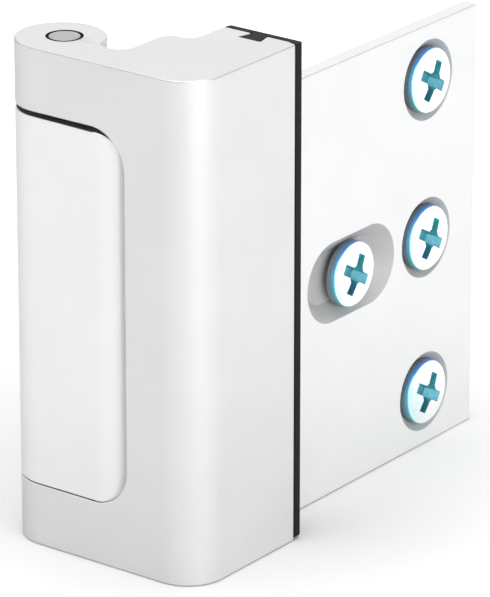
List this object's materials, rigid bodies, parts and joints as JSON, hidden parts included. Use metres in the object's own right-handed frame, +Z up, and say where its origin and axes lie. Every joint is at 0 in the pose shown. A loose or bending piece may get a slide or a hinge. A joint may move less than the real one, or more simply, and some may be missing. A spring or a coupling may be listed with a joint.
{
  "type": "flip door lock",
  "caption": "Flip door lock: a window-cut swing bar with a rubber pad, hinged on a pin through a bracket whose countersunk plate screws to the door jamb.",
  "frame": {"origin": "on the floor plane below the middle of the part's outline, with the bar closed", "axes": "+Z up along the hinge pin, +Y from the room into the doorway, +X from the hinge along the closed bar"},
  "size_m": [0.0356, 0.0774, 0.0762],
  "materials": {
    "bar_satin": "satin, very pale silver white",
    "bracket_satin": "satin, very pale silver white",
    "pad_rubber": "matt black",
    "pin_steel": "ground end, grey",
    "spring_steel": "drawn wire",
    "washer_steel": "plain",
    "bush_bronze": "sintered bronze",
    "screw_zinc": "bright zinc with a blue tint"
  },
  "bodies": {
    "bracket": {"base_bracket": "bracket_satin", "upper_bush": "bush_bronze", "lower_bush": "bush_bronze", "lower_washer": "washer_steel", "hinge_spring": "spring_steel", "jamb_screw_top": "screw_zinc", "jamb_screw_middle": "screw_zinc", "jamb_screw_bottom": "screw_zinc", "slot_screw": "screw_zinc"},
    "washer": {"thrust_washer": "washer_steel"},
    "bar": {"swing_bar": "bar_satin", "hinge_pin": "pin_steel", "door_pad": "pad_rubber"}
  },
  "joints": [
    {"name": "press_down", "type": "slide", "parent": "bracket", "child": "washer", "axis": [0, 0, 1], "range_m": [-0.0006, 0], "stiffness_N_per_m": 2000, "springref_m": 0.001, "deforming": ["hinge_spring"]},
    {"name": "swing", "type": "hinge", "parent": "washer", "child": "bar", "pos_m": [-0.01075, -0.0317, 0.0381], "axis": [0, 0, -1], "range_deg": [0, 180]}
  ]
}
